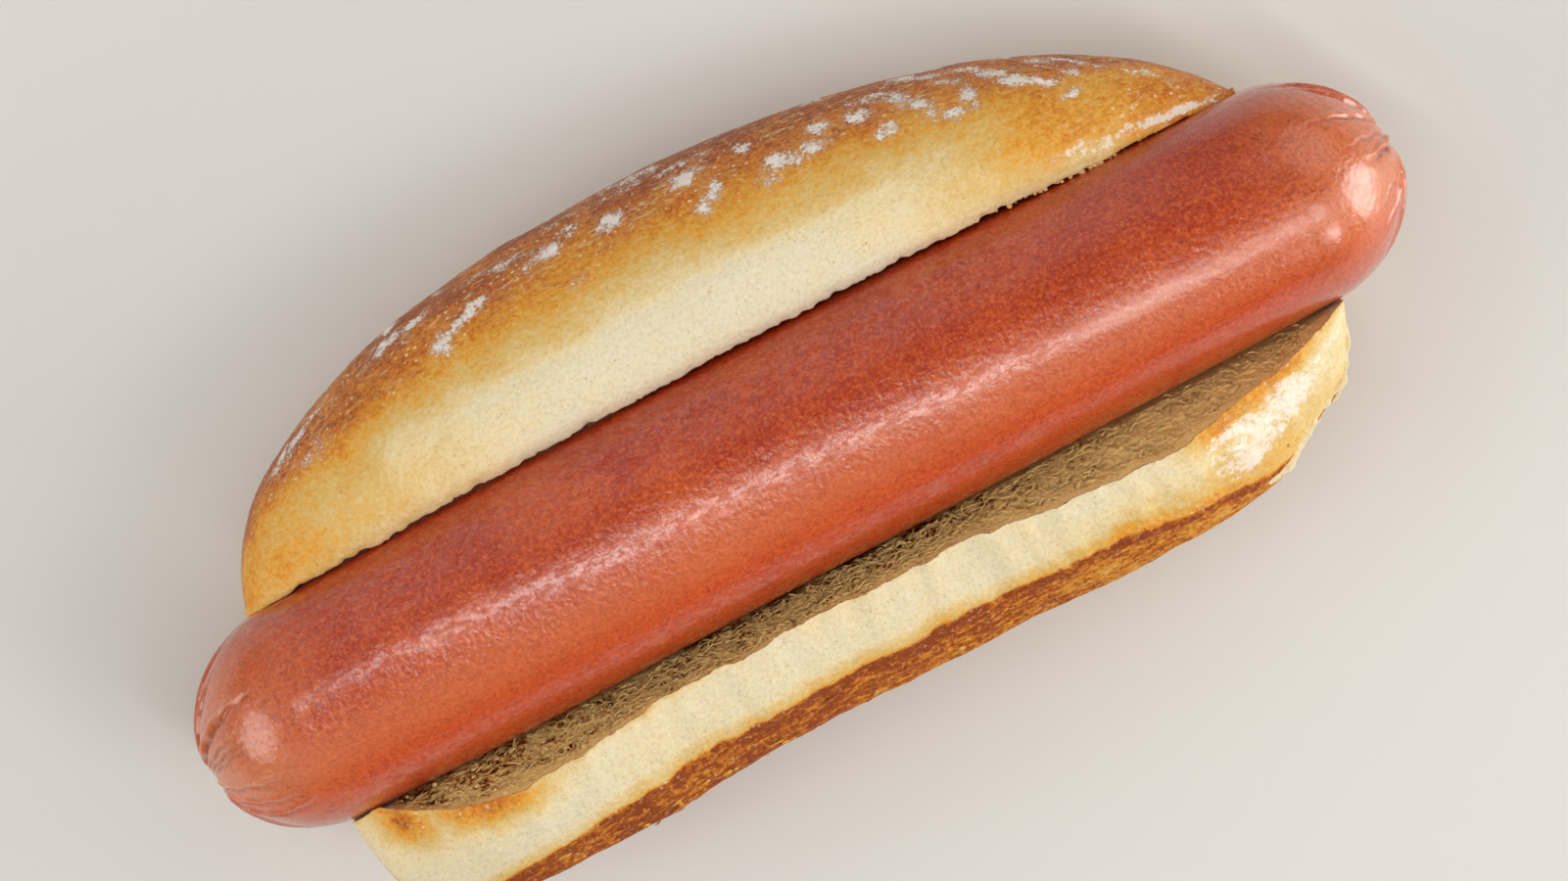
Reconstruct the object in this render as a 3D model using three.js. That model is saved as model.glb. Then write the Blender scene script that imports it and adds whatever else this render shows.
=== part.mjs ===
// Hot dog: a side-cut bun with a frankfurter between its two halves.
//
// Millimetres, +Z up. The hot dog lies on the uncut spine of the bun with its opening up. X runs along
// the sausage, the domed top half of the bun is on the +Y side and the half with the flat baked base on
// the -Y side. The model's origin is under the middle of its box, on the surface it rests on.
//
// The bun is one shell of two sheets, an outer one of crust and an inner one of cut crumb. Both are laid
// over the same two parameters: a place x along the bun, and a share t of the way round its C-shaped
// section, from the lip of the domed half (0) under the sausage to the torn rim of the base half (1).

import * as THREE from 'three';
import { mergeGeometries, mergeVertices } from 'three/addons/utils/BufferGeometryUtils.js';

const DEGREE = Math.PI / 180;

// The sausage: a cylinder with blunt rounded ends, slightly bowed and turned in the bun. Its length is
// taken before the tips are drawn in.
const SAUSAGE_LENGTH = 174.8;
const SAUSAGE_RADIUS = 16.1;
const SAUSAGE_END_RADIUS = 15.0;
const SAUSAGE_CAP = 17;
const SAUSAGE_BOW = 1.25;
const SAUSAGE_TURN = 0.5 * DEGREE;
const SAUSAGE_HEIGHT = 30;
const SAUSAGE_MIDDLE_X = -0.6;

// The twisted tips of its casing, drawn in to a dimple with folds that run out from it.
const TIP_DIMPLE = 1.6;
const TIP_SPREAD = 3.2;
const TIP_FOLDS = 7;
const TIP_FOLD_DEPTH = 0.5;

// The bun's two ends, and where its halves are thickest.
const BUN_LEFT = -73.8;
const BUN_RIGHT = 71.2;
const DOME_MIDDLE_X = -7.6;
const GAP = 0.35;

// The section at mid-length, from the lip to the rim: (y, z) from under the sausage's middle.
const SECTION = [
  [16.0, 35.5], [18.0, 39.3], [23.5, 40.6], [31.0, 37.6], [37.6, 31.0], [41.8, 22.0],
  [40.4, 12.0], [34.0, 4.6], [21.0, 0.9], [4.0, -1.0], [-12.0, -0.4], [-22.5, 7.0],
  [-29.3, 16.5], [-33.7, 24.3], [-31.0, 29.2], [-26.0, 33.2], [-20.8, 35.2],
].map(([y, z]) => new THREE.Vector2(y, z));

// The inside hugs the sausage from the lip's angle to the tangent, then leaves it as a face of crumb.
// Towards the ends of the bun the lip and the rim sink to the sausage's middle.
const LIP_ANGLE = 19 * DEGREE;
const TANGENT_ANGLE = -178 * DEGREE;
const RIM_RISE = -16 * DEGREE;
const RIM_RISE_AT_END = -6 * DEGREE;
const TANGENT_SHARE = 0.875;
const LIP_CLEARANCE = 0.5;

// The crumb face is widest where the cut bulges, at two places along the bun.
const CRUMB_WIDTH = 4.6;
const CRUMB_LEFT = -69.5;
const CRUMB_BULGES = [
  { x: -51, width: 12, reach: 2.1 },
  { x: 38, width: 18, reach: 2.7 },
];

// Loose flakes of crust that stand proud of the base half's edge.
const EDGE_SHARE = 13 / 16;
const FLAKES = [
  { x: -37, width: 4.5, reach: 0.5 },
  { x: -47, width: 18, reach: 1.3 },
  { x: 36, width: 24, reach: 0.6 },
  { x: 68.4, width: 2.2, reach: 1.3 },
];

// The share of its thickness that the base half loses where its right corner is cut off.
const BASE_CORNER = { x: 61.5, width: 5, reach: 0.13 };

// How fine the faceted solids are.
const BUN_STATIONS = 60;
const BUN_AROUND = 32;
const SAUSAGE_AROUND = 40;
const SAUSAGE_BODY_STATIONS = 26;
const SAUSAGE_CAP_STATIONS = 8;

const bump = (x, { x: middle, width, reach }) => reach * Math.exp(-(((x - middle) / width) ** 2));

// A steady ripple without a repeat that shows, for edges that were cut or torn by hand.
const ragged = (x, phase) =>
  0.5 * Math.sin(x * 0.31 + phase) + 0.3 * Math.sin(x * 0.73 + 2.1 * phase) + 0.2 * Math.sin(x * 1.37 + 3.7 * phase);

const smooth = (from, to, value) => THREE.MathUtils.smoothstep(value, from, to);

// A rounded fall from 1 in the middle to 0 at the end: a higher flatness keeps it full for longer, and a
// lower roundness makes it blunter.
const taper = (outward, flatness, roundness) => Math.max(0, 1 - Math.abs(outward) ** flatness) ** roundness;

// Sideways place of the sausage's axis at x.
function axisY(x) {
  return x * Math.tan(SAUSAGE_TURN) - SAUSAGE_BOW * (x / (SAUSAGE_LENGTH / 2)) ** 2;
}

// Radius of the sausage at x: nearly even along the body, closing over the caps.
function sausageRadius(x) {
  const bodyHalf = SAUSAGE_LENGTH / 2 - SAUSAGE_CAP;
  const away = Math.abs(x - SAUSAGE_MIDDLE_X);
  if (away <= bodyHalf) {
    return SAUSAGE_RADIUS - (SAUSAGE_RADIUS - SAUSAGE_END_RADIUS) * (away / bodyHalf) ** 3;
  }
  const intoCap = Math.min((away - bodyHalf) / SAUSAGE_CAP, 1);
  return SAUSAGE_END_RADIUS * taper(intoCap, 2.2, 0.68);
}

// The width of the crumb face at x, which closes where the halves' ends meet the sausage.
function crumbWidth(x) {
  const open = x < 0 ? taper(x / CRUMB_LEFT, 12, 1) : taper(x / BUN_RIGHT, 8, 1);
  const width = CRUMB_BULGES.reduce((sum, bulge) => sum + bump(x, bulge), CRUMB_WIDTH);
  return (width + 0.45 * ragged(x, 1)) * open;
}

// A point of the inner sheet: polar about the sausage's axis.
function innerPoint(x, t) {
  const raised = taper(x / (x < 0 ? BUN_LEFT : BUN_RIGHT), 6, 0.5);
  let angle;
  let radius = sausageRadius(x) + GAP;
  if (t <= TANGENT_SHARE) {
    angle = THREE.MathUtils.lerp(LIP_ANGLE * raised, TANGENT_ANGLE, (t / TANGENT_SHARE) ** 1.5);
    radius += (LIP_CLEARANCE + 0.25 * ragged(x, 2.4)) * (1 - smooth(0, 0.12, t));
  } else {
    const outward = (t - TANGENT_SHARE) / (1 - TANGENT_SHARE);
    angle = TANGENT_ANGLE + THREE.MathUtils.lerp(RIM_RISE_AT_END, RIM_RISE, raised) * outward;
    radius += crumbWidth(x) * outward ** 1.2;
  }
  return new THREE.Vector2(axisY(x) + radius * Math.cos(angle), SAUSAGE_HEIGHT + radius * Math.sin(angle));
}

// How much of the mid-length thickness is left at x. The domed half comes to a point on the right and is
// rounder on the left. The base half is blunt, and so is the spine under the sausage.
function thickness(x, t) {
  const dome = x < DOME_MIDDLE_X
    ? taper((x - DOME_MIDDLE_X) / (BUN_LEFT - DOME_MIDDLE_X), 2.05, 0.46)
    : taper((x - DOME_MIDDLE_X) / (BUN_RIGHT - DOME_MIDDLE_X), 2.1, 0.64);
  const outward = x / (x < 0 ? BUN_LEFT : BUN_RIGHT);
  const base = (x < 0 ? taper(outward, 20, 0.4) : taper(outward, 9, 0.75)) * (1 - bump(x, BASE_CORNER));
  const spine = taper(outward, 6, 0.6);
  const upToSpine = THREE.MathUtils.lerp(dome, spine, smooth(0.4, 0.58, t));
  return THREE.MathUtils.lerp(upToSpine, base, smooth(0.6, 0.78, t));
}

const section = new THREE.SplineCurve(SECTION);

// A point of the outer sheet: the section, with its two ends moved to the lip and the rim at x, drawn in
// towards the inner sheet by the thickness, and flattened where it rests. The two sheets share the lip,
// the rim and the ends of the bun to the last digit.
function outerPoint(x, t) {
  const thick = thickness(x, t);
  if (t === 0 || t === 1 || thick === 0) {
    return innerPoint(x, t);
  }
  const lipShift = innerPoint(x, 0).sub(SECTION[0]);
  const rimShift = innerPoint(x, 1).sub(SECTION.at(-1));
  const proud = FLAKES.reduce((sum, flake) => sum + bump(x, flake), 0);
  const nearEdge = Math.exp(-(((t - EDGE_SHARE) / 0.07) ** 2));
  const full = section.getPoint(t)
    .addScaledVector(lipShift, 1 - smooth(0, 0.3, t))
    .addScaledVector(rimShift, smooth(0.8, 1, t));
  full.x -= proud * nearEdge;
  const point = innerPoint(x, t).lerp(full, thick);
  point.y = Math.max(point.y, 0);
  return point;
}

// A sheet of the bun: a plane whose points are laid on a surface. The stations crowd towards the ends.
function sheet(pointAt, facesInward) {
  const plane = new THREE.PlaneGeometry(2, 1, BUN_STATIONS, BUN_AROUND);
  const place = plane.attributes.position;
  const middle = (BUN_LEFT + BUN_RIGHT) / 2;
  const half = (BUN_RIGHT - BUN_LEFT) / 2;
  for (let i = 0; i < place.count; i += 1) {
    const x = middle + half * Math.sin(place.getX(i) * Math.PI / 2);
    const t = facesInward ? 0.5 - place.getY(i) : 0.5 + place.getY(i);
    const point = pointAt(x, t);
    place.setXYZ(i, x, point.x, point.y);
  }
  return plane;
}

// Joins open sheets into one closed shell along the edges that they share.
function welded(sheets) {
  const shell = mergeGeometries(sheets);
  shell.deleteAttribute('uv');
  shell.deleteAttribute('normal');
  const closed = mergeVertices(shell, 1e-3);
  closed.computeVertexNormals();
  return closed;
}

function bunGeometry() {
  return welded([sheet(outerPoint, false), sheet(innerPoint, true)]);
}

// The lathe's profile, from tip to tip.
function sausageProfile() {
  const half = SAUSAGE_LENGTH / 2;
  const bodyHalf = half - SAUSAGE_CAP;
  const places = [];
  for (let i = 0; i <= SAUSAGE_CAP_STATIONS; i += 1) {
    places.push(-bodyHalf - SAUSAGE_CAP * Math.cos((i / SAUSAGE_CAP_STATIONS) * Math.PI / 2));
  }
  for (let i = 1; i < SAUSAGE_BODY_STATIONS; i += 1) {
    places.push(THREE.MathUtils.lerp(-bodyHalf, bodyHalf, i / SAUSAGE_BODY_STATIONS));
  }
  for (let i = SAUSAGE_CAP_STATIONS; i >= 0; i -= 1) {
    places.push(bodyHalf + SAUSAGE_CAP * Math.cos((i / SAUSAGE_CAP_STATIONS) * Math.PI / 2));
  }
  return places.map((along, i) => {
    const tip = i === 0 || i === places.length - 1;
    return new THREE.Vector2(tip ? 0 : sausageRadius(SAUSAGE_MIDDLE_X + along), along);
  });
}

function sausageGeometry() {
  const lathe = new THREE.LatheGeometry(sausageProfile(), SAUSAGE_AROUND);
  lathe.rotateZ(-Math.PI / 2);
  const place = lathe.attributes.position;
  for (let i = 0; i < place.count; i += 1) {
    const along = place.getX(i);
    const [y, z] = [place.getY(i), place.getZ(i)];
    const radius = Math.hypot(y, z);
    const nearTip = Math.exp(-((radius / TIP_SPREAD) ** 2)) * smooth(0.9, 1, Math.abs(along) / (SAUSAGE_LENGTH / 2));
    const fold = Math.cos(TIP_FOLDS * Math.atan2(z, y)) * Math.min(radius / TIP_SPREAD, 1);
    const inward = nearTip * (TIP_DIMPLE + TIP_FOLD_DEPTH * fold);
    const x = SAUSAGE_MIDDLE_X + along - Math.sign(along) * inward;
    place.setXYZ(i, x, y + axisY(SAUSAGE_MIDDLE_X + along), z + SAUSAGE_HEIGHT);
  }
  return welded([lathe]);
}

function subPart(name, geometry, finish) {
  const mesh = new THREE.Mesh(geometry, new THREE.MeshStandardMaterial(finish));
  mesh.name = name;
  return mesh;
}

const hotDog = new THREE.Group();
hotDog.add(
  subPart('bun', bunGeometry(), { color: 0xd9a866, roughness: 0.62, metalness: 0 }),
  subPart('sausage', sausageGeometry(), { color: 0xb5532f, roughness: 0.38, metalness: 0 }),
);

// Everything is modelled from under the sausage's middle, then moved so that the origin is under the
// middle of the whole box.
const box = new THREE.Box3().setFromObject(hotDog);
const centre = box.getCenter(new THREE.Vector3());
hotDog.position.set(-centre.x, -centre.y, -box.min.z);

export default hotDog;
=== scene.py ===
"""Dresses the hot dog: a side-cut bun with a browned, floured crust and torn crumb, and a frankfurter."""

import random
from functools import cache
from math import atan2, copysign, cos, degrees, exp, pi, radians, sin, sqrt, tan

import bmesh
import bpy
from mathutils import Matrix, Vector, noise


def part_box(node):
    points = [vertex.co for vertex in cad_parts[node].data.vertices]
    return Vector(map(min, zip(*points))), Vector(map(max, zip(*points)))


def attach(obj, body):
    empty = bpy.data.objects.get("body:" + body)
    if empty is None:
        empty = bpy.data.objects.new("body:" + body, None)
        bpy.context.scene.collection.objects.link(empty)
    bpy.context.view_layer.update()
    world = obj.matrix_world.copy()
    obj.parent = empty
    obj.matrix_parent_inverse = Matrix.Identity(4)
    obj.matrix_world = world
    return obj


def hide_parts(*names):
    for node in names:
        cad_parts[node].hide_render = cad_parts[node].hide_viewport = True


bl_info = {
    "name": "Hot dog",
    "version": (1, 0, 0),
    "blender": (4, 5, 0),
    "location": "3D View > Sidebar > Hot dog",
    "description": "Models the bun, its torn crumb and the sausage around the packed solids",
    "category": "Mesh",
}

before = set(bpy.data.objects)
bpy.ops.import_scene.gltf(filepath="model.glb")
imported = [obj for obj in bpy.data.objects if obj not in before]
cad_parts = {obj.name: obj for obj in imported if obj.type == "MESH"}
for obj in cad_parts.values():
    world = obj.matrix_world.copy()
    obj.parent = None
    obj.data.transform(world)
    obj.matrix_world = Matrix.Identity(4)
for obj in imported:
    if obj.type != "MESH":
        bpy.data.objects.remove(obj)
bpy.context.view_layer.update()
BUN_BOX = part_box("bun")
SAUSAGE_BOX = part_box("sausage")

MM = 0.001

# The forms that the solids have, in millimetres, from under the middle of the sausage. X runs along it, Y
# towards the domed half of the bun, and Z up. PLACE moves them to where the solids are.

SAUSAGE_LENGTH = 174.8
SAUSAGE_RADIUS = 16.1
SAUSAGE_END_RADIUS = 15.0
SAUSAGE_CAP = 17.0
SAUSAGE_BOW = 1.25
SAUSAGE_TURN = radians(0.5)
SAUSAGE_HEIGHT = 30.0
SAUSAGE_MIDDLE_X = -0.6
TIP_DIMPLE = 1.6
TIP_SPREAD = 3.2

BUN_LEFT = -73.8
BUN_RIGHT = 71.2
DOME_MIDDLE_X = -7.6
GAP = 0.35

# The bun's section at mid-length, from the lip of the domed half to the torn rim of the base half.
SECTION = [
    (16, 35.5), (18, 39.3), (23.5, 40.6), (31, 37.6), (37.6, 31), (41.8, 22),
    (40.4, 12), (34, 4.6), (21, 0.9), (4, -1), (-12, -0.4), (-22.5, 7),
    (-29.3, 16.5), (-33.7, 24.3), (-31, 29.2), (-26, 33.2), (-20.8, 35.2),
]
LIP_ANGLE = radians(19)
TANGENT_ANGLE = radians(-178)
RIM_RISE = radians(-16)
RIM_RISE_AT_END = radians(-6)
TANGENT_SHARE = 0.875
LIP_CLEARANCE = 0.5
CRUMB_WIDTH = 4.6
CRUMB_LEFT = -69.5
CRUMB_BULGES = [(-51.0, 12.0, 2.1), (38.0, 18.0, 2.7)]
EDGE_SHARE = 13 / 16
FLAKES = [(-37.0, 4.5, 0.5), (-47.0, 18.0, 1.3), (36.0, 24.0, 0.6), (68.4, 2.2, 1.3)]
BASE_CORNER = (61.5, 5.0, 0.13)


def lerp(a, b, share):
    """The value that lies that share of the way from a to b."""
    return a + (b - a) * share


def smooth(low, high, value):
    """0 at low, 1 at high, with a smooth step between them and no change beyond."""
    share = min(max((value - low) / (high - low), 0.0), 1.0)
    return share * share * (3 - 2 * share)


def bell(value, middle, width):
    """A bump of height 1 at middle."""
    return exp(-(((value - middle) / width) ** 2))


def taper(outward, flatness, roundness):
    """A rounded fall from 1 in the middle to 0 at the end."""
    return max(0.0, 1 - abs(outward) ** flatness) ** roundness


@cache
def ragged(x, phase):
    """A steady ripple of a hand-cut edge, about one unit high."""
    return (0.5 * sin(x * 0.31 + phase) + 0.3 * sin(x * 0.73 + 2.1 * phase)
            + 0.2 * sin(x * 1.37 + 3.7 * phase))


@cache
def axis_y(x):
    """Sideways place of the sausage's axis at x."""
    return x * tan(SAUSAGE_TURN) - SAUSAGE_BOW * (x / (SAUSAGE_LENGTH / 2)) ** 2


@cache
def sausage_radius(x):
    """Radius of the sausage at x."""
    body_half = SAUSAGE_LENGTH / 2 - SAUSAGE_CAP
    away = abs(x - SAUSAGE_MIDDLE_X)
    if away <= body_half:
        return SAUSAGE_RADIUS - (SAUSAGE_RADIUS - SAUSAGE_END_RADIUS) * (away / body_half) ** 3
    return SAUSAGE_END_RADIUS * taper(min((away - body_half) / SAUSAGE_CAP, 1), 2.2, 0.68)


@cache
def crumb_width(x):
    """Width of the cut face of crumb at x, which closes at the bun's ends."""
    opened = taper(x / CRUMB_LEFT, 12, 1) if x < 0 else taper(x / BUN_RIGHT, 8, 1)
    width = CRUMB_WIDTH + sum(reach * bell(x, middle, spread) for middle, spread, reach in CRUMB_BULGES)
    return (width + 0.45 * ragged(x, 1)) * opened


def inner_point(x, t):
    """A point of the bun's inside, which hugs the sausage and leaves it as a face of crumb."""
    raised = taper(x / (BUN_LEFT if x < 0 else BUN_RIGHT), 6, 0.5)
    radius = sausage_radius(x) + GAP
    if t <= TANGENT_SHARE:
        angle = lerp(LIP_ANGLE * raised, TANGENT_ANGLE, (t / TANGENT_SHARE) ** 1.5)
        radius += (LIP_CLEARANCE + 0.25 * ragged(x, 2.4)) * (1 - smooth(0, 0.12, t))
    else:
        outward = (t - TANGENT_SHARE) / (1 - TANGENT_SHARE)
        angle = TANGENT_ANGLE + lerp(RIM_RISE_AT_END, RIM_RISE, raised) * outward
        radius += crumb_width(x) * outward ** 1.2
    return Vector((x, axis_y(x) + radius * cos(angle), SAUSAGE_HEIGHT + radius * sin(angle)))


@cache
def thickness_at(x):
    """How much of their mid-length thickness the dome, the spine and the base half have left at x."""
    middle = DOME_MIDDLE_X
    if x < middle:
        dome = taper((x - middle) / (BUN_LEFT - middle), 2.05, 0.46)
    else:
        dome = taper((x - middle) / (BUN_RIGHT - middle), 2.1, 0.64)
    outward = x / (BUN_LEFT if x < 0 else BUN_RIGHT)
    base = taper(outward, 20, 0.4) if x < 0 else taper(outward, 9, 0.75)
    base *= 1 - BASE_CORNER[2] * bell(x, *BASE_CORNER[:2])
    return dome, taper(outward, 6, 0.6), base


def thickness(x, t):
    """How much of the bun's mid-length thickness is left at x."""
    dome, spine, base = thickness_at(x)
    return lerp(lerp(dome, spine, smooth(0.4, 0.58, t)), base, smooth(0.6, 0.78, t))


@cache
def edges_at(x):
    """The lip and the rim at x, as moves from the section's own ends, and how far flakes stand proud."""
    proud = sum(reach * bell(x, middle, spread) for middle, spread, reach in FLAKES)
    return inner_point(x, 0) - Vector((0, *SECTION[0])), inner_point(x, 1) - Vector((0, *SECTION[-1])), proud


def section_point(t):
    """A point of the section's smooth curve through its corners."""
    place = t * (len(SECTION) - 1)
    step = min(int(place), len(SECTION) - 2)
    share = place - step
    a, b, c, d = (SECTION[min(max(step + k, 0), len(SECTION) - 1)] for k in (-1, 0, 1, 2))
    out = []
    for i in range(2):
        start, end = (c[i] - a[i]) / 2, (d[i] - b[i]) / 2
        out.append(((2 * b[i] - 2 * c[i] + start + end) * share ** 3
                    + (-3 * b[i] + 3 * c[i] - 2 * start - end) * share ** 2 + start * share + b[i]))
    return Vector((0, *out))


def outer_point(x, t):
    """A point of the bun's crust."""
    inner = inner_point(x, t)
    thick = thickness(x, t)
    if t in (0, 1) or thick == 0:
        return inner
    lip_shift, rim_shift, proud = edges_at(x)
    full = section_point(t) + lip_shift * (1 - smooth(0, 0.3, t)) + rim_shift * smooth(0.8, 1, t)
    full.x = x
    full.y -= proud * bell(t, EDGE_SHARE, 0.07)
    point = inner.lerp(full, thick)
    point.z = max(point.z, 0)
    return point


PLACE = Vector((
    BUN_BOX[0].x / MM - BUN_LEFT,
    SAUSAGE_BOX[1].y / MM - max(axis_y(x) + sausage_radius(x) for x in range(-60, 61)),
    SAUSAGE_BOX[0].z / MM - (SAUSAGE_HEIGHT - SAUSAGE_RADIUS),
))


# Helpers for meshes

# Without a seed, Blender's noise_vector and turbulence_vector differ from one run to the next.
noise.seed_set(4)


def crowded(share):
    """Moves a place from -1 to 1 so that the steps become small at both ends."""
    return copysign(1.2 * abs(share) - 0.2 * abs(share) ** 6, share)


def traced(value, stops):
    """The height at value of a line through the stops, each a place and a height."""
    if value <= stops[0][0]:
        return stops[0][1]
    for (low, start), (high, end) in zip(stops, stops[1:]):
        if value <= high:
            return lerp(start, end, (value - low) / (high - low))
    return stops[-1][1]


def rough(place, scale, octaves=3):
    """Fractal noise of about one unit, whose largest lumps are about scale millimetres across."""
    return noise.fractal(Vector(place) / scale, 1.0, 2.0, octaves)


def wobble(*place):
    """Smooth noise of about one unit at three numbers."""
    return noise.noise(Vector(place))


def new_mesh(name, bm):
    """The bmesh as a mesh."""
    mesh = bpy.data.meshes.new(name)
    bm.to_mesh(mesh)
    bm.free()
    return mesh


def new_object(name, data):
    """An object of the scene with its mesh, light or camera."""
    made = bpy.data.objects.new(name, data)
    bpy.context.scene.collection.objects.link(made)
    return made


def new_piece(name, bm, material, node="bun"):
    """Makes an object of the bmesh that rides on the root and stands for a solid."""
    bmesh.ops.recalc_face_normals(bm, faces=bm.faces)
    mesh = new_mesh(name, bm)
    mesh.shade_smooth()
    mesh.materials.append(material)
    piece = new_object(name, mesh)
    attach(piece, "root")
    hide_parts(node)


def float_layers(bm, *names):
    """Adds named values to the vertices."""
    return [bm.verts.layers.float.new(name) for name in names]


def put_in_place(bm):
    """Moves a mesh worked out in millimetres to where the solids are."""
    for vert in bm.verts:
        vert.co = (vert.co + PLACE) * MM


def closed_loop_grid(bm, columns, rows):
    """A grid to roll up into a tube: for each of its vertices, the vertex, its share along the tube from
    -1 to 1, and its share round it from 0 to 1."""
    made = bmesh.ops.create_grid(bm, x_segments=columns, y_segments=rows, size=1)
    return [(v, v.co.x, (v.co.y + 1) / 2) for v in made["verts"]]


def close_tube(bm):
    """Puts a rolled-up grid in place, joins it along its seam, and closes its two open ends."""
    put_in_place(bm)
    bmesh.ops.remove_doubles(bm, verts=bm.verts, dist=1e-8)
    bmesh.ops.holes_fill(bm, edges=[e for e in bm.edges if e.is_boundary], sides=0)


def stamped(template, copies, shape, layer):
    """A mesh with a copy of the template for each entry of copies. An entry starts with its value in the
    layer, and shape turns a vertex's own place and the rest of the entry into its place on the bun."""
    size = len(template.verts)
    stamp = new_mesh("stamp", template)
    bm = bmesh.new()
    for _ in copies:
        bm.from_mesh(stamp)
    bpy.data.meshes.remove(stamp)
    value_layer = bm.verts.layers.float.new(layer)
    for i, vert in enumerate(bm.verts):
        vert[value_layer], *rest = copies[i // size]
        vert.co = shape(vert.co, *rest)
    put_in_place(bm)
    return bm


# Helpers for materials

BUMP_STRENGTH = 0.9


def linear(red, green, blue):
    """A colour given as 0 to 255 on a screen, as the shader's own light values."""
    def one(value):
        value /= 255
        return value / 12.92 if value <= 0.04045 else ((value + 0.055) / 1.055) ** 2.4
    return (one(red), one(green), one(blue), 1.0)


def feed(tree, socket, value):
    """Gives a socket a fixed value, or what another node gives."""
    if isinstance(value, Value):
        tree.links.new(value.socket, socket)
    else:
        socket.default_value = value


def add_node(tree, kind, inputs, **choices):
    """Adds a node with its choices made and its inputs fed, each by its name or number."""
    node = tree.nodes.new(kind)
    node.location.x = 180 * len(tree.nodes)
    for key, value in choices.items():
        setattr(node, key, value)
    for key, value in inputs.items():
        feed(tree, node.inputs[key], value)
    return node


class Value:
    """What a node gives, and short ways to work on it with more nodes."""

    def __init__(self, socket):
        self.socket = socket

    def through(self, kind, inputs, output=0, **choices):
        return Value(add_node(self.socket.id_data, kind, inputs, **choices).outputs[output])

    def math(self, operation, other=0.0, clamp=False):
        return self.through("ShaderNodeMath", {0: self, 1: other}, operation=operation, use_clamp=clamp)

    def __add__(self, other):
        return self.math("ADD", other)

    def __sub__(self, other):
        return self.math("SUBTRACT", other)

    def __mul__(self, other):
        return self.math("MULTIPLY", other)

    def __rsub__(self, number):
        return self.through("ShaderNodeMath", {0: number, 1: self}, operation="SUBTRACT")

    def __rtruediv__(self, number):
        return self.through("ShaderNodeMath", {0: number, 1: self}, operation="DIVIDE")

    def span(self, low, high, to_low=0.0, to_high=1.0):
        """Smoothly from to_low at low to to_high at high."""
        inputs = {0: self, 1: low, 2: high, 3: to_low, 4: to_high}
        return self.through("ShaderNodeMapRange", inputs, interpolation_type="SMOOTHSTEP")

    def mix(self, a, b):
        """From colour a at 0 to colour b at 1."""
        return self.through("ShaderNodeMix", {0: self, 6: a, 7: b}, 2, data_type="RGBA")

    def tinted(self, painted_shade):
        """The colour times another."""
        choices = {"data_type": "RGBA", "blend_type": "MULTIPLY"}
        return self.through("ShaderNodeMix", {0: 1.0, 6: self, 7: painted_shade}, 2, **choices)

    def ramp(self, *stops):
        """A colour for the value, from stops that are each a place and a colour."""
        node = add_node(self.socket.id_data, "ShaderNodeValToRGB", {"Fac": self})
        elements = node.color_ramp.elements
        while len(elements) < len(stops):
            elements.new(0.5)
        for element, (place, colour) in zip(elements, stops):
            element.position, element.color = place, colour
        return Value(node.outputs[0])

    def noise(self, scale, detail=4.0, roughness=0.55, distortion=0.0):
        return self.through("ShaderNodeTexNoise", {
            "Vector": self, "Scale": scale, "Detail": detail, "Roughness": roughness,
            "Distortion": distortion}, "Fac")

    def cells(self, scale):
        return self.through("ShaderNodeTexVoronoi", {"Vector": self, "Scale": scale}, "Distance")

    def stretched(self, x, y=1.0, z=1.0, turn=(0.0, 0.0, 0.0)):
        return self.through("ShaderNodeMapping", {"Vector": self, "Rotation": turn, "Scale": (x, y, z)})

    def along(self):
        """The X of a place."""
        return self.through("ShaderNodeSeparateXYZ", {0: self})

    def attribute(self, name):
        return self.through("ShaderNodeAttribute", {}, "Fac", attribute_name=name)

    def group(self, name, **inputs):
        """The outputs of a node group that is placed here, by name."""
        node = add_node(self.socket.id_data, "ShaderNodeGroup", {}, node_tree=bpy.data.node_groups[name])
        for key, value in {"Vector": self, **inputs}.items():
            feed(node.id_data, node.inputs[key], value)
        return {output.name: Value(output) for output in node.outputs}

    def bump(self, distance):
        inputs = {"Strength": BUMP_STRENGTH, "Distance": distance, "Height": self}
        return self.through("ShaderNodeBump", inputs)


def new_material(name, look, **fixed):
    """A material whose shader gets what look makes of the place on the object, and fixed values."""
    material = bpy.data.materials.new(name)
    material.use_nodes = True
    tree = material.node_tree
    tree.nodes.clear()
    fed = look(Value(add_node(tree, "ShaderNodeTexCoord", {}).outputs["Object"]))
    shader = add_node(tree, "ShaderNodeBsdfPrincipled", {
        key.replace("_", " "): value for key, value in {**fixed, **fed}.items()})
    add_node(tree, "ShaderNodeOutputMaterial", {"Surface": Value(shader.outputs[0])})
    return material


def new_group(name, inputs, outputs, build):
    """A node group of named values. Its inputs give their defaults, or None for a vector."""
    group = bpy.data.node_groups.new(name, "ShaderNodeTree")
    for label, default in inputs.items():
        kind = "NodeSocketVector" if default is None else "NodeSocketFloat"
        socket = group.interface.new_socket(label, in_out="INPUT", socket_type=kind)
        if default is not None:
            socket.default_value = default
    for label in outputs:
        group.interface.new_socket(label, in_out="OUTPUT", socket_type="NodeSocketFloat")
    entry = add_node(group, "NodeGroupInput", {}).outputs
    made = build(*(Value(entry[label]) for label in inputs))
    add_node(group, "NodeGroupOutput", dict(zip(outputs, made)))


def grain_nodes(at, size, depth):
    """Fine pores and pebbling that bread and sausage casing share: a height and a mask of pits."""
    scale = 1 / size
    pits = at.cells(scale * 0.9).span(0.04, 0.26, 1, 0) * at.noise(scale * 0.35, 1).span(0.52, 0.66)
    return at.noise(scale, 5, 0.6) - pits * depth, pits


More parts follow.
